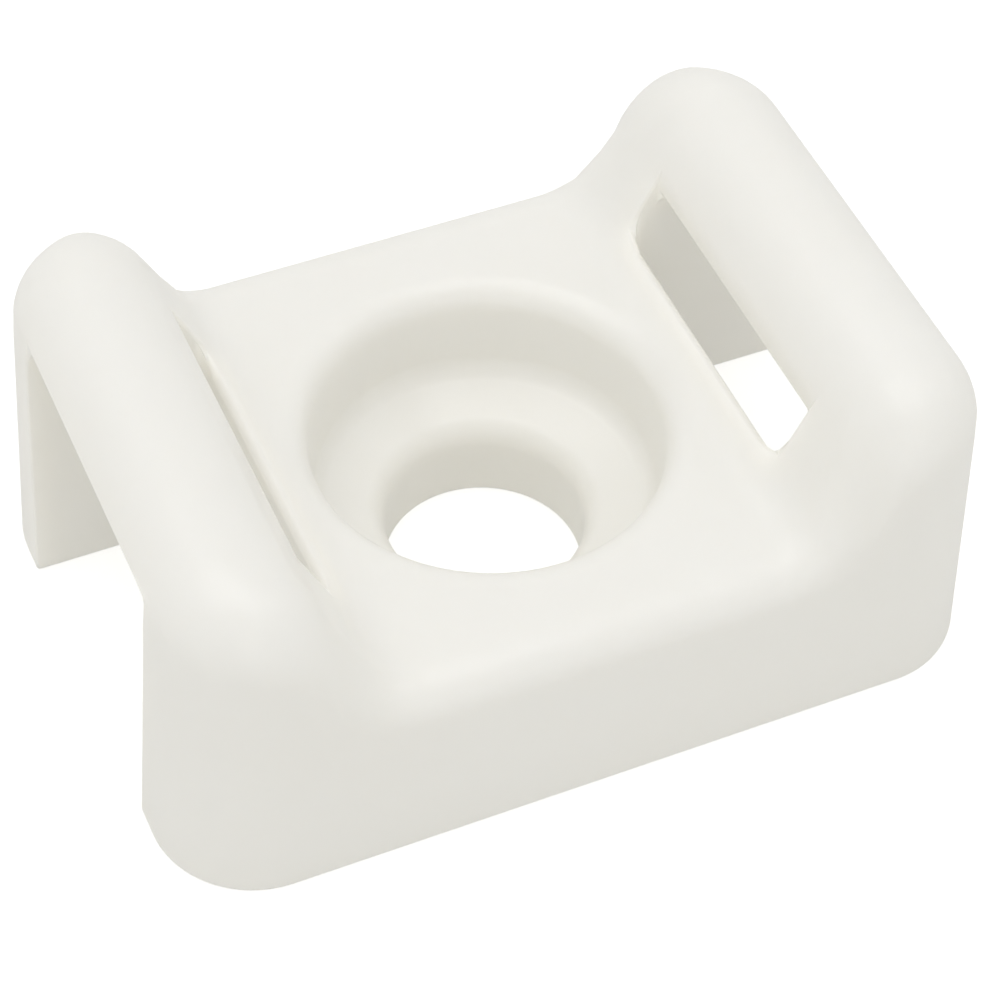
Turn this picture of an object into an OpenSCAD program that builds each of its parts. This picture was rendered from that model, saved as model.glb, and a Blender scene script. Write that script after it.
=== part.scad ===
// Saddle-type cable tie mount, one moulded nylon piece.
// Origin: centre of the flat base. X runs along the base, from tie slot to tie slot,
// Y across it, along the two ridges, and Z up, away from the surface it is screwed to.

/* [Base] */
// Length of the base over both ends
base_l = 22; // [20:0.1:26]
// Width of the base
base_w = 15.4; // [13:0.1:20]
// Radius of the four upright corners
corner_r = 2.7; // [2:0.1:3.2]
// Lean of the two end faces, so that the piece leaves its mould (degrees)
end_draft = 3.3; // [0:0.1:5]
// Lean of the two long faces (degrees)
side_draft = 0.5; // [0:0.1:2]

/* [Saddle and ridges] */
// Height of the flat floor between the ridges
saddle_h = 5.5; // [4.6:0.1:6.5]
// Rounding of the long edges of the floor and of the flanks
edge_r = 0.6; // [0.3:0.05:0.75]
// Height of the ridge tops
ridge_h = 9.5; // [8.6:0.1:11]
// Rounding of a ridge toward the outside, all round the top of the piece
crest_out_r = 1.7; // [1.2:0.05:1.9]
// Rounding of the two ends of a ridge, toward the long faces
ridge_end_r = 2; // [1.2:0.05:2.4]
// Rounding of a ridge toward the saddle
crest_in_r = 2.2; // [1.6:0.1:2.8]
// Steepness of the inner flank of a ridge (degrees)
flank_angle = 65; // [55:1:75]
// Fillet at the foot of the flank
foot_r = 1.5; // [0.8:0.1:2]

/* [Screw seat] */
// Diameter of the screw hole
bore_d = 5.3; // [4:0.1:6]
// Height at which the screw hole opens into the seat
bore_h = 2.2; // [1.4:0.1:3]
// Diameter at the bottom of the seat wall
seat_d = 8.8; // [7.6:0.1:9.6]
// Slope of the seat's conical floor (degrees)
seat_slope = 23; // [10:1:35]
// Lean of the seat wall (degrees)
seat_draft = 3.5; // [1:0.5:8]
// Rounding of the lip round the seat
lip_r = 0.5; // [0.2:0.05:0.6]

/* [Tie slots] */
// Width of the tie slots and tunnels at the base
tie_w = 8.3; // [7:0.1:9.2]
// Lean of their two side walls, wider toward the top (degrees)
way_lean = 1.3; // [0:0.1:2]
// Distance of a slot's inner wall from the middle of the base
slot_x = 6; // [5.6:0.1:6.4]
// Gap between that wall and the bar, seen from above
slot_gap = 0.7; // [0.5:0.05:1.2]
// Height at which the thin lip between the floor and that wall is cut off level
slot_lip_h = 6; // [5.8:0.05:6.3]
// Height of the underside of the bar at the slot
bar_under_in = 7.3; // [6.6:0.1:7.6]
// Height of the underside of the bar at the end face
bar_under_out = 8.1; // [7.4:0.1:8.3]
// Fillet between a tunnel's roof and its side walls
tunnel_r = 0.5; // [0.3:0.05:0.8]

/* [Hidden] */
nylon = [0.94, 0.94, 0.90];
$fn = 96;
half_l = base_l / 2;
half_w = base_w / 2;
// Length of the stock below the base plane, cut off at the end
skirt = 2;
// Reach of a cutting tool past the faces it opens
past = 1;
// Reach of a rounding tool past the edge that it rounds
lap = 0.3;
// A rounding tool's circle is over size by this share, so that it crosses the faces cleanly
bite = 1.01;
// Height of the centre of the outer rounding, and its distance from the base's edges
top_z = ridge_h - crest_out_r;
top_dx = (crest_out_r + top_z * sin(end_draft)) / cos(end_draft);
// The same toward the long faces, where the rounding is drawn out to the ridge end's
end_stretch = ridge_end_r / crest_out_r;
top_dy = (corner_r * end_stretch + top_z * sin(side_draft)) / cos(side_draft);
// Crest line of a ridge
crest_x = half_l - top_dx;
// Height of the centre of the crest's inner rounding
crest_cz = ridge_h - crest_in_r;
// Foot of the flank, where it would meet the floor with no fillet between them
foot_x = crest_x - (crest_in_r + (crest_cz - saddle_h) * cos(flank_angle)) / sin(flank_angle);
// Centre of the foot fillet
foot_cx = foot_x - foot_r * tan(flank_angle / 2);
// Centres of the two arcs in the side view, and the ends of the straight flank between them
turn = [sin(flank_angle), cos(flank_angle)];
foot_c = [foot_cx, saddle_h + foot_r];
crest_c = [crest_x, crest_cz];
foot_end = foot_c + foot_r * [turn[0], -turn[1]];
crest_start = crest_c + crest_in_r * [-turn[0], turn[1]];
// Screw seat, from the hole outwards
bore_r = bore_d / 2;
seat_r = seat_d / 2;
seat_h = bore_h + (seat_r - bore_r) * tan(seat_slope);
rim_r = seat_r + (saddle_h - seat_h) * tan(seat_draft);
// Bar over a tunnel, and the rise of its underside toward the end face (degrees)
bar_x = slot_x + slot_gap;
roof_rise = atan((bar_under_out - bar_under_in) / (half_l - bar_x));

// Outer form before the saddle is cut: a block with leaning faces and a rounded top
module block() {
    ring_r = corner_r - crest_out_r;
    foot_dx = corner_r - skirt * tan(end_draft);
    foot_dy = corner_r - skirt * tan(side_draft);
    hull() for (sx = [-1, 1], sy = [-1, 1]) {
        translate([sx * (half_l - foot_dx), sy * (half_w - foot_dy), -skirt])
            cylinder(r = corner_r, h = 0.01, $fn = 48);
        translate([sx * (half_l - top_dx - ring_r), sy * (half_w - top_dy), top_z])
            scale([1, end_stretch, 1]) rotate_extrude($fn = 48) intersection() {
                translate([ring_r, 0]) circle(crest_out_r, $fn = 48);
                translate([0, -crest_out_r]) square(2 * corner_r);
            }
    }
}

// Side view of one half of the saddle's hollow: floor, foot fillet, flank and inner crest
module hollow_view() {
    difference() {
        union() {
            difference() {
                polygon([[0, saddle_h], [foot_cx, saddle_h], foot_c, foot_end, crest_start,
                    [crest_x, ridge_h], [crest_x, ridge_h + past], [0, ridge_h + past]]);
                polygon([crest_start, crest_c, [crest_x, ridge_h]]);
            }
            translate(foot_c) circle(foot_r);
        }
        translate(crest_c) circle(crest_in_r);
    }
}

// Section of a rounding tool: a square over the corner of two faces, less a circle inside it
module rounding(r) {
    difference() {
        translate([-r, -r]) square(r + lap);
        translate([-r, -r]) circle(r * bite);
    }
}

// Rounding tool along the floor's edge, drawn with the long face at y = 0
module floor_edge() {
    translate([foot_cx, 0, saddle_h]) rotate([0, -90, 0]) linear_extrude(2 * foot_cx) rounding(edge_r);
}

// The same along a foot fillet
module foot_edge() {
    translate([foot_cx, 0, foot_c[1]]) rotate([-90, 0, 0]) rotate([0, 0, 90 - flank_angle])
        rotate_extrude(angle = flank_angle) translate([foot_r, 0]) mirror([1, 0]) rounding(edge_r);
}

// The same up a flank, and straight on until it leaves the crest
module flank_edge() {
    run = norm(crest_start - foot_end) + crest_in_r;
    translate([foot_end[0], 0, foot_end[1]]) rotate([0, -90 - flank_angle, 0])
        translate([0, 0, -run]) linear_extrude(run) rounding(edge_r);
}

// Screw hole, conical seat, steep seat wall and rounded lip, as one turned tool
module screw_seat() {
    lip_c = [rim_r + lip_r, saddle_h - lip_r];
    rotate_extrude() difference() {
        polygon([[0, -past], [bore_r, -past], [bore_r, bore_h], [seat_r, seat_h], [rim_r, lip_c[1]],
            lip_c, [lip_c[0], saddle_h + past], [0, saddle_h + past]]);
        translate(lip_c) circle(lip_r);
    }
}

// Side view of a tie way: the slot through the flank, and the tunnel under the bar
module way_view() {
    reach = half_l + past;
    high = ridge_h + past;
    roof_end = bar_under_in + (reach - bar_x) * tan(roof_rise);
    polygon([[slot_x, -past], [slot_x, slot_lip_h], [slot_x - slot_gap, slot_lip_h],
        [slot_x - slot_gap, high], [bar_x, high], [bar_x, bar_under_in], [reach, roof_end],
        [reach, -past]]);
}

// Slot and tunnel at one end: the side view, between two leaning side walls, less the fillets
// that stay in the roof's corners
module tie_way() {
    half = tie_w / 2;
    grow = tan(way_lean);
    high = ridge_h + past;
    difference() {
        intersection() {
            rotate([90, 0, 0]) linear_extrude(base_w, center = true) way_view();
            rotate([90, 0, 90]) linear_extrude(base_l) polygon([
                [half - past * grow, -past], [half + high * grow, high],
                [-half - high * grow, high], [-half + past * grow, -past]]);
        }
        intersection() {
            translate([bar_x, -base_w, 0]) cube([base_l, 2 * base_w, high]);
            for (side = [0, 1]) mirror([0, side, 0])
                translate([bar_x, half + bar_under_in * grow, bar_under_in]) rotate([0, -roof_rise, 0])
                    rotate([90, 0, 90]) linear_extrude(base_l, center = true) rounding(tunnel_r);
        }
    }
}

// The mount: one piece of moulded nylon
module tie_mount() {
    color(nylon) difference() {
        block();
        translate([-base_l, -base_w, -2 * skirt]) cube([2 * base_l, 2 * base_w, 2 * skirt]);
        for (side = [0, 1]) mirror([side, 0, 0]) {
            rotate([90, 0, 0]) linear_extrude(base_w + 2 * past, center = true) hollow_view();
            tie_way();
            for (face = [0, 1]) mirror([0, face, 0])
                translate([0, half_w, 0]) rotate([side_draft, 0, 0]) foot_edge();
            for (face = [0, 1]) mirror([0, face, 0])
                translate([0, half_w, 0]) rotate([side_draft, 0, 0]) flank_edge();
        }
        for (face = [0, 1]) mirror([0, face, 0])
            translate([0, half_w, 0]) rotate([side_draft, 0, 0]) floor_edge();
        screw_seat();
    }
}

tie_mount();
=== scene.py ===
"""Saddle-type cable tie mount of natural nylon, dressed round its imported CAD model.

The body is worked out in millimetres on the CAD model's own axes (X from tie slot to tie
slot, Y along the ridges, Z up from the base) and put into the mesh in metres.
"""
import math

import bmesh
import bpy
import numpy as np
from mathutils import Matrix, Vector


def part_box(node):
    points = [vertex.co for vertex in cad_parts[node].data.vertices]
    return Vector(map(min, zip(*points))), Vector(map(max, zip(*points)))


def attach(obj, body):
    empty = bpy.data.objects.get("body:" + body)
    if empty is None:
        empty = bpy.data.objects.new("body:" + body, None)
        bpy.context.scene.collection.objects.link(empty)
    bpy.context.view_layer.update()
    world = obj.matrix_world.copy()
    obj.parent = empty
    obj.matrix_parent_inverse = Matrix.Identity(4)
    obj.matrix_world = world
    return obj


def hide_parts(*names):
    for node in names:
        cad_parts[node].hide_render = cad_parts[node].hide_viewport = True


bl_info = {
    "name": "Cable Tie Mount",
    "version": (1, 0, 0),
    "blender": (4, 5, 0),
    "location": "3D View > Sidebar > Tie Mount",
    "description": "Builds a moulded nylon saddle mount for cable ties, its floor, light and camera",
    "category": "Add Mesh",
}

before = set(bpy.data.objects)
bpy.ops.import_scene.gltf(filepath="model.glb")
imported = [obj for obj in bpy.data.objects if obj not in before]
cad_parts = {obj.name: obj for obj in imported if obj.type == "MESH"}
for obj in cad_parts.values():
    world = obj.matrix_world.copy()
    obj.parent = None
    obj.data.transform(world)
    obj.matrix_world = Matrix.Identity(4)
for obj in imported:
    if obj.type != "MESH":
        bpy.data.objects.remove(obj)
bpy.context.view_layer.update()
MM = 0.001
LOW, HIGH = (np.array(corner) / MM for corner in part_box("tie_mount"))
WELD = 2e-7  # points closer than this, in metres, become one
SLACK = 1e-6  # within this, in millimetres or as a share, two values count as equal

# Cells across the body's strips
TOP_CELLS = 5  # from the top's grid out to the rolled rim
RIM_CELLS = 14  # round the rim
WALL_CELLS = 10  # from the rim down to the base
LIP_CELLS = 10  # round the screw seat's lip
SPOKE_CELLS = 8  # from that lip out to the top's grid
SEAT_CELLS = 3  # down each straight run of the seat and the screw hole
OUTER_CELLS = 8  # from the grid's end to an outer face, in the roof and the base
FOOT_CELLS = 10  # from the screw hole's foot out to the base's grid

# Rounds after which a rim row's height and a wall row's inset no longer change
RIM_ROUNDS, WALL_ROUNDS = 40, 8

# Kinds of face, named for the surface that they lie on
SKIN, SEAT_WALL, SEAT_FLOOR, BORE, SLOT_WALL, LAND, ROOF, CHEEK, BASE = range(9)


def mm(name, default, description, low=0.0, high=50.0):
    """A size in millimetres, kept as a plain number."""
    return bpy.props.FloatProperty(name=name, description=description, default=default,
                                   min=low, max=high, precision=3)


def angle(name, default, description):
    """An angle, given here in degrees and kept in radians."""
    return bpy.props.FloatProperty(name=name, description=description, default=math.radians(default),
                                   subtype="ANGLE")


def colour(name, default, description):
    """A colour, as red, green and blue from 0 to 1."""
    return bpy.props.FloatVectorProperty(name=name, description=description, default=default,
                                         subtype="COLOR", size=3, min=0, max=1)


def factor(name, default, description):
    """A share from 0 to 1."""
    return bpy.props.FloatProperty(name=name, description=description, default=default,
                                   min=0, max=1, subtype="FACTOR")


class TIEMOUNT_PG_body(bpy.types.PropertyGroup):
    """Sizes of the moulded body, in millimetres."""
    length: mm("Length", float(HIGH[0] - LOW[0]), "Length over both ends, at the base")
    width: mm("Width", float(HIGH[1] - LOW[1]), "Width over both long faces, at the base")
    height: mm("Height", float(HIGH[2] - LOW[2]), "Height of the ridge tops")
    corner: mm("Corner", 2.7, "Radius of the upright corners")
    floor: mm("Floor", 5.5, "Height of the saddle floor")
    flank: angle("Flank", 65, "Steepness of the ridges' inner flanks")
    end_draft: angle("End draft", 3.3, "Lean of the end faces")
    side_draft: angle("Side draft", 0.5, "Lean of the long faces")
    crest: mm("Crest", 2.2, "Rounding of a ridge toward the saddle")
    foot: mm("Foot", 1.5, "Fillet at the foot of a flank")
    roll_floor: mm("Floor edge", 0.8, "Rounding between the floor and the long faces")
    roll_ridge: mm("Ridge end", 2.0, "Rounding at the two ends of a ridge")
    roll_end: mm("End edge", 1.7, "Rounding between a ridge and its end face")
    seat_rim: mm("Seat rim", 5.3, "Outer radius of the rounded lip round the screw seat")
    seat_lip: mm("Seat lip", 0.75, "Rounding of that lip")
    seat_foot: mm("Seat foot", 4.4, "Radius where the seat's wall meets its conical floor")
    seat_low: mm("Seat depth", 2.95, "Height of that corner above the base")
    bore: mm("Bore", 2.6, "Radius of the screw hole")
    bore_top: mm("Bore top", 2.2, "Height at which the screw hole opens")
    slot_in: mm("Slot", 6.0, "Distance of a tie slot's inner wall from the middle")
    slot_lip: mm("Slot lip", 6.0, "Height at which the thin lip at that wall is levelled off")
    slot_out: mm("Bar", 6.7, "Distance of the bar's inner edge from the middle")
    tunnel_top: mm("Slot half width", 4.34, "Half the width of a tie slot")
    tunnel_low: mm("Tunnel half width", 4.15, "Half the width of a tie tunnel at the base")
    tunnel_full: mm("Full width from", 6.3, "Height from which a tie way keeps the slot's width")
    roof_in: mm("Roof inside", 7.3, "Height of the bar's underside at the slot")
    roof_out: mm("Roof outside", 8.1, "Height of the bar's underside at the end face")
    soften: mm("Soft edges", 0.5, "Widest softening, in the upper corners of a tunnel")


class TIEMOUNT_PG_finish(bpy.types.PropertyGroup):
    """Finish of the nylon."""
    colour: colour("Colour", (0.94, 0.93, 0.885), "Colour of the nylon")
    deep_colour: colour("Second colour", (0.93, 0.915, 0.86), "Colour that it drifts to in soft clouds")
    roughness: factor("Roughness", 0.28, "Roughness of the moulded skin")
    milkiness: factor("Milkiness", 0.45, "Share of light that travels under the skin")
    depth: mm("Depth", 1.0, "How far light travels under the skin")


class TIEMOUNT_PG_stage(bpy.types.PropertyGroup):
    """Place, turn and lens of the camera."""
    azimuth: angle("Azimuth", 24.78, "Turn of the camera about Z")
    elevation: angle("Elevation", 48.89, "Height of the camera as an angle")
    roll: angle("Roll", 2.0, "Roll of the camera about its own axis")
    distance: mm("Distance", 77.856, "Distance of the camera from its target", high=1000)
    lens: bpy.props.FloatProperty(name="Lens", description="Focal length on a 36 mm sensor", default=111.16,
                                  unit="CAMERA")
    target: bpy.props.FloatVectorProperty(name="Target", size=3, default=(-0.743, -1.415, 4.0),
                                          description="Point that the camera faces, in millimetres")
    shift: bpy.props.FloatVectorProperty(name="Shift", description="Lens shift, right and up", size=2,
                                         default=(0.0184, 0.0089), precision=4)


def steps(cells):
    """Equal steps from 0 to 1 over a number of cells."""
    return np.arange(cells + 1) / cells


def lines(*runs):
    """Grid lines: runs of (start, end, cells) laid end to end, each with equal steps."""
    parts = [np.linspace(a, b, n + 1)[:-1] for a, b, n in runs]
    return np.concatenate(parts + [np.array([runs[-1][1]])])


def saddle_height(s, x):
    """Height of the top over x: the flat floor, a foot fillet of radius foot, the straight
    flank, an inner crest of radius crest, then the flat ridge top. Each arc is its centre's
    height plus or minus the root of radius squared less distance squared."""
    x = np.abs(x)
    sin_a, cos_a, tan_a = math.sin(s.flank), math.cos(s.flank), math.tan(s.flank)
    crest_z = s.height - s.crest
    lean = (s.height - s.roll_end) * math.sin(s.end_draft)
    crest_x = s.length / 2 - (s.roll_end + lean) / math.cos(s.end_draft)
    foot_x = crest_x - (s.crest + (crest_z - s.floor) * cos_a) / sin_a
    arc_x = foot_x - s.foot * math.tan(s.flank / 2)
    foot_arc = s.floor + s.foot - np.sqrt(np.maximum(s.foot ** 2 - (x - arc_x) ** 2, 0))
    crest_arc = crest_z + np.sqrt(np.maximum(s.crest ** 2 - (x - crest_x) ** 2, 0))
    flank = s.floor + (x - foot_x) * tan_a
    return np.select(
        [x < arc_x, x < arc_x + s.foot * sin_a, x < crest_x - s.crest * sin_a, x < crest_x],
        [np.full_like(x, s.floor), foot_arc, flank, crest_arc], s.height)


def levelled(s, x, y, full):
    """Height of the top with the slot's thin lip levelled off: between the seat and the slot's
    inner wall it stays under the lip's height, out to y = full, and from there the cut runs
    out in a straight line to the slot's end."""
    plain = saddle_height(s, x)
    share = np.clip((s.tunnel_top - y) / (s.tunnel_top - full), 0, 1)
    cut = np.clip(plain - s.slot_lip, 0, None) * (x < s.slot_in + SLACK)
    return plain - cut * share


def rounding(s, z, endness):
    """Rounding of the rim at height z: it grows in a straight line from the floor's edge to
    the ridge's end, and is the end face's own where endness is 1."""
    share = np.clip((z - s.floor + s.roll_floor) / (s.height - s.floor), 0, 1)
    side = s.roll_floor + (s.roll_ridge - s.roll_floor) * share
    return side + (s.roll_end - side) * endness


def uprightness(s, x):
    """Upward part of the top's normal at x: one over the root of 1 plus the slope squared,
    with the slope taken over a short step to either side."""
    step = 0.001
    slope = (saddle_height(s, x + step) - saddle_height(s, x - step)) / (2 * step)
    return 1 / np.sqrt(1 + slope ** 2)


def outline(s, u_x, u_y, x_turn, y_turn):
    """Quarter outline of the base and its outward normals: along the long face, round the
    upright corner and back along the end face. Lines short of x_turn and y_turn keep their own
    place, and the rest share out what is left of the face and half of the corner's arc."""
    half_l, half_w, arc = s.length / 2, s.width / 2, s.corner * math.pi / 4

    def walk(u, turn, straight):
        """How far each line lies along the straight part of a face, and its angle on the arc."""
        share = np.clip((u - turn) / (u[-1] - turn), 0, None)
        reach = np.where(u <= turn, u, turn + share * (straight + arc - turn))
        return np.minimum(reach, straight), np.clip(reach - straight, 0, None) / s.corner

    along, a = walk(u_x, x_turn, half_l - s.corner)
    across, b = walk(u_y, y_turn, half_w - s.corner)
    side = np.stack([along + s.corner * np.sin(a), half_w - s.corner + s.corner * np.cos(a)], -1)
    end = np.stack([half_l - s.corner + s.corner * np.cos(b), across + s.corner * np.sin(b)], -1)
    side_normal = np.stack([np.sin(a), np.cos(a)], -1)
    end_normal = np.stack([np.cos(b), np.sin(b)], -1)
    return np.concatenate([side, end[::-1][1:]]), np.concatenate([side_normal, end_normal[::-1][1:]])


def tunnel_edge(s, z):
    """Half width of a tie way at height z: it narrows in a straight line toward the base."""
    return s.tunnel_low + (s.tunnel_top - s.tunnel_low) * np.clip(z / s.tunnel_full, 0, 1)


def narrowed(s, y, z, outer, lean):
    """Moves grid lines sideways with the tie way's wall: lines inside it are scaled with it,
    and lines from it to outer share out what is left, where outer itself moves in by lean."""
    edge = tunnel_edge(s, z)
    beyond = edge + (y - s.tunnel_top) * (outer - lean - edge) / (outer - s.tunnel_top)
    return np.where(y <= s.tunnel_top, y * edge / s.tunnel_top, np.where(y < outer, beyond, y - lean))


def leaned(s, o, n, z):
    """Outline point o with normal n at height z, moved in by the drafts of the two faces."""
    in_x, in_y = z * math.tan(s.end_draft), z * math.tan(s.side_draft)
    start_x, start_y = s.length / 2 - s.corner, s.width / 2 - s.corner
    x = o[:, 0] - in_x * np.clip(o[:, 0] / start_x, 0, 1)
    on_end = n[:, 0] > 1 - SLACK
    return x, np.where(on_end, narrowed(s, o[:, 1], z, start_y, in_y), o[:, 1] - in_y)


def rim_row(s, o, n, turn):
    """One row of the rolled rim, turned by an angle from the top: it lies under the top by
    r (1 - cos turn), square to it, and in from the leaned outline by r (1 - sin turn). The
    rounding r depends on the height, which is therefore moved half way to its new value in
    each round until it settles."""
    z = np.full(len(o), s.height)
    for _ in range(RIM_ROUNDS):
        r = rounding(s, z, n[:, 0] ** 2)
        x, y = leaned(s, o, n, z)
        inset = r * (1 - np.sin(turn))
        x, y = x - n[:, 0] * inset, y - n[:, 1] * inset
        z = (z + saddle_height(s, x) - r * (1 - np.cos(turn)) / uprightness(s, x)) / 2
    return np.stack([x, y, z], -1)


def wall_row(s, o, n, z):
    """One row of the outer wall at height z. With e the depth under the top, square to it, and
    r the rounding, it is in by r less the root of r squared less (r - e) squared where e < r.
    The depth depends on how far in it is, so the two are worked out in turn, in rounds."""
    x0, y0 = leaned(s, o, n, z)
    r = rounding(s, z, n[:, 0] ** 2)
    inset = np.zeros(len(o))
    for _ in range(WALL_ROUNDS):
        x = x0 - n[:, 0] * inset
        e = (saddle_height(s, x) - z) * uprightness(s, x)
        inset = np.where(e < r, r - np.sqrt(np.clip(r ** 2 - (r - e) ** 2, 0, None)), 0)
    return np.stack([x0 - n[:, 0] * inset, y0 - n[:, 1] * inset, z + 0 * x0], -1)


def between(a, b, shares):
    """Rows laid in straight lines from row a to row b, at the given shares of the way."""
    return a + (b - a) * np.asarray(shares)[:, None, None]


def body_patches(s):
    """One quarter of the body, x and y from 0 up, as (kind, grid of points, cells kept)."""
    # Lines that the grids keep to: the square round the seat, where the cut in the slot's thin
    # lip starts and where it starts to run out, where the lines fan out toward the upright
    # corner, and the last line in X
    seat_x, seat_y, lip_x, lip_y, turn_x, turn_y, edge_x = 5.55, 5.5, 5.75, 3.7, 7.2, 4.85, 8.0
    gx = lines((0, seat_x, 40), (seat_x, lip_x, 1), (lip_x, s.slot_in, 1), (s.slot_in, s.slot_out, 1),
               (s.slot_out, turn_x, 2), (turn_x, edge_x, 14))
    gy = lines((0, lip_y, 18), (lip_y, s.tunnel_top, 1), (s.tunnel_top, turn_y, 1), (turn_y, seat_y, 12))
    i_in, i_out, i_seat = (int(np.argmin(abs(gx - v))) for v in (s.slot_in, s.slot_out, seat_x))
    j_way = int(np.argmin(abs(gy - s.tunnel_top)))
    nx, ny = len(gx) - 1, len(gy) - 1
    ix, jy = np.arange(nx)[:, None], np.arange(ny)[None, :]
    patches = []

    # Top inside the rim: the saddle carried straight across, over lines of x and y
    x, y = np.meshgrid(gx, gy, indexing="ij")
    top = np.stack([x, y, levelled(s, x, y, lip_y)], -1)
    slot = (ix >= i_in) & (ix < i_out) & (jy < j_way)
    patches.append((SKIN, top, ~slot & (ix >= i_seat)))

    # Rim and outer wall: columns follow the outline, rows run from the top down to the base
    o, n = outline(s, gx, gy, turn_x, turn_y)
    first = np.concatenate([top[:, -1], top[-1, ::-1][1:]])
    at_end = (np.arange(len(o) - 1) >= nx + ny - j_way)[None, :]
    roof_turn = math.acos(1 - (s.height - s.roof_out) / s.roll_end)
    last_turn = math.pi / 2 + (roof_turn - math.pi / 2) * n[:, 0] ** 2
    rim = [rim_row(s, o, n, last_turn * share) for share in steps(RIM_CELLS)]
    outer_top = between(first, rim[0], steps(TOP_CELLS))
    outer_top[..., 2] = saddle_height(s, outer_top[..., 0])
    patches.append((SKIN, np.concatenate([outer_top, np.stack(rim[1:])]), None))
    down = 1 - steps(WALL_CELLS)
    wall = np.stack([rim[-1]] + [wall_row(s, o, n, rim[-1][:, 2] * share) for share in down[1:]])
    patches.append((SKIN, wall, np.broadcast_to(~at_end, (WALL_CELLS, len(o) - 1))))

    # The seat's lip and the saddle floor round it, on straight spokes from the seat outwards:
    # at a turn from the top the lip lies in from its outer edge by its radius times the sine,
    # and under the floor by its radius times 1 less the cosine
    loop = np.concatenate([top[i_seat, :], top[:i_seat + 1, -1][::-1][1:]])
    spoke = loop[:, :2] / np.hypot(loop[:, 0], loop[:, 1])[:, None]
    turn = math.pi / 2 * (1 - steps(LIP_CELLS))
    radius = s.seat_rim - s.seat_lip * np.sin(turn)
    lip = np.pad(radius[:, None, None] * spoke, ((0, 0), (0, 0), (0, 1)))
    ring = np.concatenate([lip[:-1], between(lip[-1], loop, steps(SPOKE_CELLS))])
    ring[..., 2] = saddle_height(s, ring[..., 0])
    ring[:LIP_CELLS + 1, :, 2] -= (s.seat_lip * (1 - np.cos(turn)))[:, None]
    patches.append((SKIN, ring, None))

    # Screw seat and hole: a profile of three straight runs, turned about Z
    def turned(radius, height):
        """One row at a radius and a height, on the same spokes."""
        return np.concatenate([spoke * radius, np.full((len(loop), 1), height)], -1)

    foot, mouth, low = turned(s.seat_foot, s.seat_low), turned(s.bore, s.bore_top), turned(s.bore, 0)
    for kind, upper, lower in ((SEAT_WALL, ring[0], foot), (SEAT_FLOOR, foot, mouth), (BORE, mouth, low)):
        patches.append((kind, between(upper, lower, steps(SEAT_CELLS)), None))

    # Tie way: inner wall, land (the bar's face to the slot) and roof are straight across, and
    # the cheek closes the side, beside the land first and then down to the base
    y_way = gy[:j_way + 1]
    reach = wall[0, -1, 0]
    outward = steps(OUTER_CELLS)[1:]
    roof_x = np.concatenate([gx[i_out:], gx[-1] + (reach - gx[-1]) * outward])
    roof_z = s.roof_in + (s.roof_out - s.roof_in) * (roof_x - s.slot_out) / (reach - s.slot_out)
    drop = saddle_height(s, np.array([s.slot_out]))[0] - s.roof_in

    def across(x, z):
        """Rows of constant x and z, from the middle to the tie way's side."""
        x, z = np.asarray(x)[:, None], np.asarray(z)[:, None]
        y = y_way * tunnel_edge(s, z) / s.tunnel_top
        return np.stack([x + 0 * y, y, z + 0 * y], -1)

    mouth_z = saddle_height(s, gx[i_in:i_out + 1])
    brim = top[i_in, :j_way + 1]
    inner = np.concatenate([brim[None], np.broadcast_to(brim - [0, 0, drop], (WALL_CELLS + 1, j_way + 1, 3))])
    inner[1:, :, 2] *= down[:, None]
    inner[1:, :, 1] *= tunnel_edge(s, inner[1:, :, 2]) / s.tunnel_top
    patches.append((SLOT_WALL, inner, None))
    patches.append((LAND, across([s.slot_out, s.slot_out], [mouth_z[-1], mouth_z[-1] - drop]), None))
    patches.append((ROOF, across(roof_x, roof_z), None))
    z = np.stack([mouth_z, mouth_z - drop], -1)
    x = np.broadcast_to(gx[i_in:i_out + 1, None], z.shape)
    patches.append((CHEEK, np.stack([x, tunnel_edge(s, z), z], -1), None))
    heads = np.concatenate([mouth_z - drop, roof_z[1:]])
    z = heads[:, None] * down[None, :]
    x = np.concatenate([np.broadcast_to(gx[i_in:, None], (len(gx) - i_in, WALL_CELLS + 1)),
                        gx[-1] + (wall[:, nx + ny - j_way, 0] - gx[-1])[None, :] * outward[:, None]])
    patches.append((CHEEK, np.stack([x, tunnel_edge(s, z), z], -1), None))

    # Base: the same lines laid flat, less the tie way and the screw hole
    x, y = np.meshgrid(gx, narrowed(s, gy, 0.0, gy[-1], 0.0), indexing="ij")
    flat = np.stack([x, y, 0 * x], -1)
    patches.append((BASE, flat, (ix >= i_seat) & ~((ix >= i_in) & (jy < j_way))))
    last = np.concatenate([flat[:, -1], flat[-1, ::-1][1:]])
    patches.append((BASE, between(last, wall[-1], steps(OUTER_CELLS)),
                    np.broadcast_to(~at_end, (OUTER_CELLS, len(o) - 1))))
    loop = np.concatenate([flat[i_seat, :], flat[:i_seat + 1, -1][::-1][1:]])
    patches.append((BASE, between(low, loop, steps(FOOT_CELLS)), None))
    return patches


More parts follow.
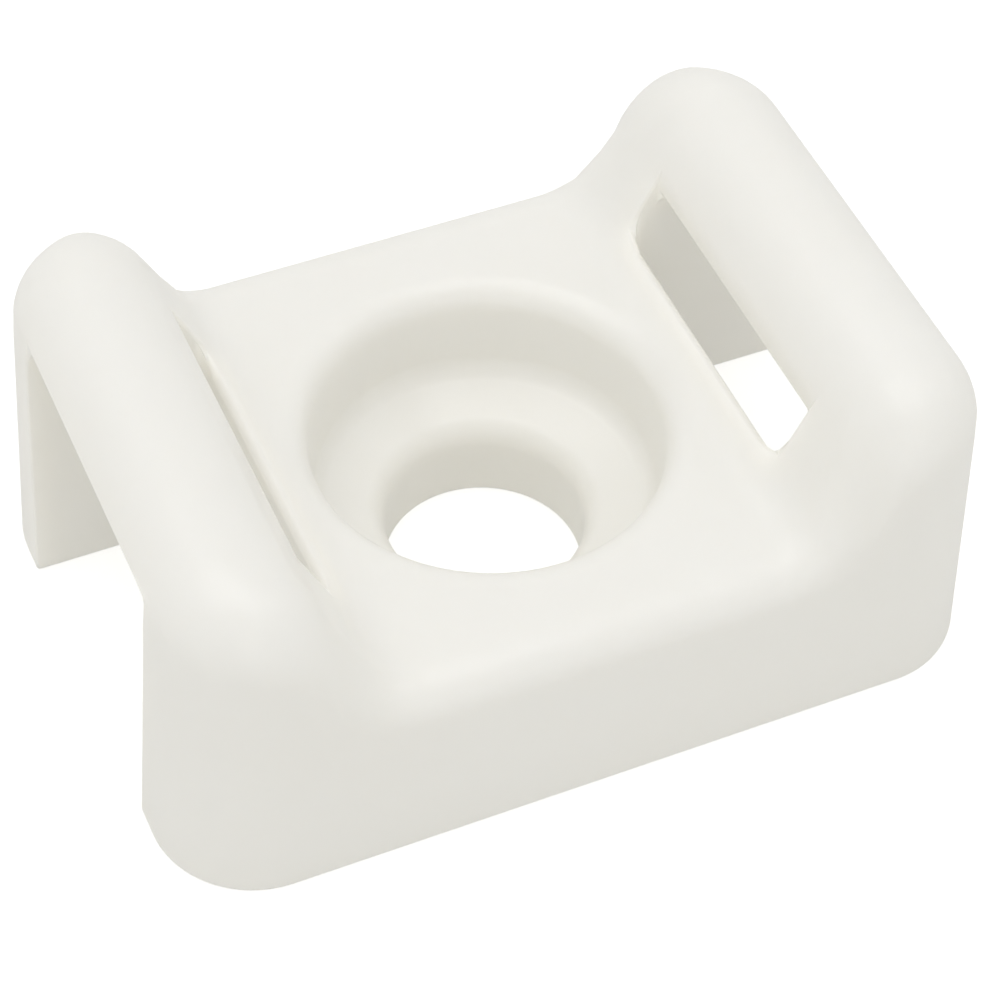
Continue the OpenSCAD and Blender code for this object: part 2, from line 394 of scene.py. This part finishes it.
def join_quarters(patches):
    """Lays the patches' grids side by side, and mirrors the quarter into the other three.
    Returns points, four-cornered faces and the kind of each face."""
    points, faces, kinds, count = [], [], [], 0
    for kind, grid, kept in patches:
        rows, cols = grid.shape[:2]
        index = count + np.arange(rows * cols).reshape(rows, cols)
        quads = np.stack([index[:-1, :-1], index[1:, :-1], index[1:, 1:], index[:-1, 1:]], -1)
        quads = quads.reshape(-1, 4) if kept is None else quads[kept]
        points.append(grid.reshape(-1, 3))
        faces.append(quads)
        kinds.append(np.full(len(quads), kind))
        count += rows * cols
    points, faces, kinds = np.concatenate(points), np.concatenate(faces), np.concatenate(kinds)
    signs = np.array([[1, 1, 1], [-1, 1, 1], [-1, -1, 1], [1, -1, 1]])
    all_points = np.concatenate([points * sign for sign in signs])
    all_faces = np.concatenate([(faces if k % 2 == 0 else faces[:, ::-1]) + k * count for k in range(4)])
    return all_points, all_faces, np.tile(kinds, 4)


# Softening of the edge between two kinds of face, in millimetres
SOFTENED = {
    (SEAT_WALL, SEAT_FLOOR): 0.4, (SEAT_FLOOR, BORE): 0.5, (SKIN, SLOT_WALL): 0.22, (SKIN, LAND): 0.22,
    (LAND, ROOF): 0.15, (SKIN, ROOF): 0.16, (ROOF, CHEEK): 0.5, (SKIN, CHEEK): 0.08, (SLOT_WALL, CHEEK): 0.3,
    (LAND, CHEEK): 0.08, (SKIN, BASE): 0.15, (BORE, BASE): 0.12, (SLOT_WALL, BASE): 0.12, (CHEEK, BASE): 0.12,
}


def edge_softening(mesh, kinds):
    """Softening of every edge: looked up from the kinds of the two faces that share it."""
    edge_of_loop = np.empty(len(mesh.loops), np.int64)
    mesh.loops.foreach_get("edge_index", edge_of_loop)
    face_kind = np.repeat(kinds, 4)
    order = np.argsort(edge_of_loop, kind="stable")
    pairs = face_kind[order].reshape(-1, 2)
    table = np.zeros((BASE + 1, BASE + 1))
    for (a, b), value in SOFTENED.items():
        table[a, b] = table[b, a] = value
    return table[pairs[:, 0], pairs[:, 1]]


def smooth_mesh(name, points, faces, kinds, widest):
    """A closed mesh from welded grids, with its faces outward and its edges marked to soften."""
    mesh = bpy.data.meshes.new(name)
    mesh.from_pydata(points * MM, [], faces.tolist())
    kind = mesh.attributes.new("kind", "INT", "FACE")
    kind.data.foreach_set("value", kinds.astype(np.int32))
    work = bmesh.new()
    work.from_mesh(mesh)
    bmesh.ops.remove_doubles(work, verts=work.verts, dist=WELD)
    loose = [v for v in work.verts if not v.link_faces]
    bmesh.ops.delete(work, geom=loose, context="VERTS")
    bmesh.ops.recalc_face_normals(work, faces=work.faces)
    open_edges = [e for e in work.edges if len(e.link_faces) != 2]
    if open_edges:
        raise RuntimeError(f"{name} has {len(open_edges)} edges without two faces")
    work.to_mesh(mesh)
    work.free()
    kinds = np.empty(len(mesh.polygons), np.int32)
    mesh.attributes["kind"].data.foreach_get("value", kinds)
    weight = mesh.attributes.new("bevel_weight_edge", "FLOAT", "EDGE")
    weight.data.foreach_set("value", (edge_softening(mesh, kinds) / widest).astype(np.float32))
    mesh.polygons.foreach_set("use_smooth", np.ones(len(mesh.polygons), bool))
    mesh.update()
    return mesh


# Unevenness of the moulded skin, broad and fine: the noise's scale and detail, and the
# bump's strength and height in millimetres
SKIN_WAVES = ((420, 2, 0.25, 0.03), (2600, 4, 0.12, 0.02))
CLOUDS = (260, 3)  # scale and detail of the noise that drifts the colour
REACH = (1.0, 0.92, 0.75)  # how far red, green and blue light travel, as shares of the depth
NYLON_IOR = 1.53


def nylon_material(look):
    """Natural nylon: milky, a little see-into, with a soft gloss and a fine moulded skin."""
    material = bpy.data.materials.new("natural_nylon")
    material.use_nodes = True
    nodes, links = material.node_tree.nodes, material.node_tree.links
    place = nodes.new("ShaderNodeTexCoord")

    def noise(scale, detail):
        """Noise on the object's own coordinates."""
        node = nodes.new("ShaderNodeTexNoise")
        node.inputs["Scale"].default_value = scale
        node.inputs["Detail"].default_value = detail
        links.new(place.outputs["Object"], node.inputs["Vector"])
        return node.outputs["Fac"]

    shader = nodes["Principled BSDF"]
    shader.subsurface_method = "BURLEY"
    shader.inputs["Roughness"].default_value = look.roughness
    shader.inputs["IOR"].default_value = NYLON_IOR
    shader.inputs["Subsurface Weight"].default_value = look.milkiness
    shader.inputs["Subsurface Radius"].default_value = REACH
    shader.inputs["Subsurface Scale"].default_value = look.depth * MM
    tint = nodes.new("ShaderNodeMix")
    tint.data_type = "RGBA"
    tint.inputs["A"].default_value = (*look.colour, 1)
    tint.inputs["B"].default_value = (*look.deep_colour, 1)
    links.new(noise(*CLOUDS), tint.inputs["Factor"])
    links.new(tint.outputs["Result"], shader.inputs["Base Color"])
    bumps = []
    for scale, detail, strength, height in SKIN_WAVES:
        bump = nodes.new("ShaderNodeBump")
        bump.inputs["Strength"].default_value = strength
        bump.inputs["Distance"].default_value = height * MM
        links.new(noise(scale, detail), bump.inputs["Height"])
        bumps.append(bump)
    broad, fine = bumps
    links.new(broad.outputs["Normal"], fine.inputs["Normal"])
    links.new(fine.outputs["Normal"], shader.inputs["Normal"])
    return material


FLOOR_HALF = 0.6  # half of the floor's side, in metres
FLOOR_COLOUR = (0.62, 0.615, 0.59, 1)
FLOOR_GLOW, FLOOR_SEEN = 0.22, 0.62  # its glow in all light, and the one that the camera sees


def make_floor(context):
    """A floor that looks white and keeps the object's shadow. It is a warm grey whose weak glow
    lights the hollows from below. For the camera the glow is stronger, so the floor is white."""
    half = FLOOR_HALF
    corners = [(-half, -half, 0), (half, -half, 0), (half, half, 0), (-half, half, 0)]
    mesh = bpy.data.meshes.new("floor")
    mesh.from_pydata(corners, [], [(0, 1, 2, 3)])
    floor = bpy.data.objects.new("floor", mesh)
    context.scene.collection.objects.link(floor)
    material = bpy.data.materials.new("floor")
    material.use_nodes = True
    nodes, links = material.node_tree.nodes, material.node_tree.links
    nodes.remove(nodes["Principled BSDF"])
    grey = nodes.new("ShaderNodeBsdfDiffuse")
    grey.inputs["Color"].default_value = FLOOR_COLOUR
    mix, rays = nodes.new("ShaderNodeMixShader"), nodes.new("ShaderNodeLightPath")
    links.new(rays.outputs["Is Camera Ray"], mix.inputs["Fac"])
    for socket, strength in ((1, FLOOR_GLOW), (2, FLOOR_SEEN)):
        glow, both = nodes.new("ShaderNodeEmission"), nodes.new("ShaderNodeAddShader")
        glow.inputs["Strength"].default_value = strength
        links.new(grey.outputs["BSDF"], both.inputs[0])
        links.new(glow.outputs["Emission"], both.inputs[1])
        links.new(both.outputs["Shader"], mix.inputs[socket])
    links.new(mix.outputs["Shader"], nodes["Material Output"].inputs["Surface"])
    mesh.materials.append(material)


# Lamps: name, place in metres, power in watts and diameter in metres
LAMPS = (
    ("overhead", (-0.06, 0.06, 0.34), 0.26, 0.34),
    ("front", (-0.14, -0.36, 0.2), 0.06, 0.3),
    ("spot_right", (0.25, -0.01, 0.31), 0.03, 0.05),
    ("spot_middle", (0.07, -0.06, 0.35), 0.03, 0.05),
)
AIM = Vector((0, 0, 0.004))  # point that they face, in metres
ROOM_LIGHT, ROOM_SEEN = 0.72, 1.0  # strength of the room as light, and as the camera sees it


def make_light(context):
    """A bright even room, a large soft lamp overhead, a weak one by the camera, and two small
    ones on the right for a little gloss. The camera sees the room as white, and no lamps."""
    world = bpy.data.worlds.new("room")
    context.scene.world = world
    world.use_nodes = True
    nodes, links = world.node_tree.nodes, world.node_tree.links
    mix, rays = nodes.new("ShaderNodeMixShader"), nodes.new("ShaderNodeLightPath")
    links.new(rays.outputs["Is Camera Ray"], mix.inputs["Fac"])
    backgrounds = (nodes["Background"], nodes.new("ShaderNodeBackground"))
    for socket, background, strength in zip((1, 2), backgrounds, (ROOM_LIGHT, ROOM_SEEN)):
        background.inputs["Color"].default_value = (1, 1, 1, 1)
        background.inputs["Strength"].default_value = strength
        links.new(background.outputs["Background"], mix.inputs[socket])
    links.new(mix.outputs["Shader"], nodes["World Output"].inputs["Surface"])
    for name, place, power, size in LAMPS:
        lamp = bpy.data.lights.new(name, "AREA")
        lamp.shape = "DISK"
        lamp.energy, lamp.size = power, size
        holder = bpy.data.objects.new(name, lamp)
        turn = (AIM - Vector(place)).to_track_quat("-Z", "Y")
        holder.matrix_world = Matrix.Translation(place) @ turn.to_matrix().to_4x4()
        holder.visible_camera = False
        context.scene.collection.objects.link(holder)


def make_camera(context, view):
    """A camera on the ray through its target, turned by azimuth, elevation and roll."""
    az, el, roll = view.azimuth, view.elevation, view.roll
    ahead = Vector((math.sin(az) * math.cos(el), math.cos(az) * math.cos(el), -math.sin(el)))
    right = Vector((math.cos(az), -math.sin(az), 0))
    up = right.cross(ahead)
    right, up = (right * math.cos(roll) + up * math.sin(roll), up * math.cos(roll) - right * math.sin(roll))
    data = bpy.data.cameras.new("camera")
    data.lens = view.lens
    data.sensor_width = 36
    data.shift_x, data.shift_y = view.shift
    data.clip_start = 0.001
    camera = bpy.data.objects.new("camera", data)
    place = (Vector(view.target) - ahead * view.distance) * MM
    turn = Matrix((right, up, -ahead)).transposed().to_4x4()
    camera.matrix_world = Matrix.Translation(place) @ turn
    context.scene.collection.objects.link(camera)
    context.scene.camera = camera


class TIEMOUNT_OT_body(bpy.types.Operator):
    """Builds the moulded body from its quarter patches"""
    bl_idname = "tiemount.body"
    bl_label = "Moulded body"

    def execute(self, context):
        sizes = context.scene.tie_mount_body
        points, faces, kinds = join_quarters(body_patches(sizes))
        mesh = smooth_mesh("tie_mount_body", points, faces, kinds, sizes.soften)
        body = bpy.data.objects.new("tie_mount_body", mesh)
        context.scene.collection.objects.link(body)
        soften = body.modifiers.new("Soft edges", "BEVEL")
        soften.width = sizes.soften * MM
        soften.segments = 4
        soften.limit_method = "WEIGHT"
        soften.harden_normals = True
        soften.use_clamp_overlap = False
        mesh.materials.append(nylon_material(context.scene.tie_mount_finish))
        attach(body, "root")
        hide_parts("tie_mount")
        return {"FINISHED"}


class TIEMOUNT_OT_stage(bpy.types.Operator):
    """Lays the floor, hangs the lamps and sets up the camera"""
    bl_idname = "tiemount.stage"
    bl_label = "Floor, light and camera"

    def execute(self, context):
        view = context.scene.tie_mount_stage
        make_floor(context)
        make_light(context)
        make_camera(context, view)
        context.scene.view_settings.view_transform = "Standard"
        return {"FINISHED"}


class TIEMOUNT_PT_panel(bpy.types.Panel):
    """Sidebar panel that lists the values and the operators"""
    bl_idname = "TIEMOUNT_PT_panel"
    bl_label = "Tie Mount"
    bl_space_type = "VIEW_3D"
    bl_region_type = "UI"
    bl_category = "Tie Mount"

    def draw(self, context):
        column = self.layout.column()
        for group in ("tie_mount_body", "tie_mount_finish", "tie_mount_stage"):
            values = getattr(context.scene, group)
            box = column.box()
            for name in values.__annotations__:
                box.prop(values, name)
        column.operator(TIEMOUNT_OT_body.bl_idname)
        column.operator(TIEMOUNT_OT_stage.bl_idname)


CLASSES = (TIEMOUNT_PG_body, TIEMOUNT_PG_finish, TIEMOUNT_PG_stage, TIEMOUNT_OT_body, TIEMOUNT_OT_stage,
           TIEMOUNT_PT_panel)


def register():
    """Registers the classes and hangs their values on the scene."""
    for cls in CLASSES:
        bpy.utils.register_class(cls)
    bpy.types.Scene.tie_mount_body = bpy.props.PointerProperty(type=TIEMOUNT_PG_body)
    bpy.types.Scene.tie_mount_finish = bpy.props.PointerProperty(type=TIEMOUNT_PG_finish)
    bpy.types.Scene.tie_mount_stage = bpy.props.PointerProperty(type=TIEMOUNT_PG_stage)


def unregister():
    """Takes the values and the classes away again."""
    del bpy.types.Scene.tie_mount_stage
    del bpy.types.Scene.tie_mount_finish
    del bpy.types.Scene.tie_mount_body
    for cls in reversed(CLASSES):
        bpy.utils.unregister_class(cls)


def main():
    """Builds the piece and its stage."""
    register()
    bpy.ops.tiemount.body()
    bpy.ops.tiemount.stage()


if __name__ == "__main__":
    main()
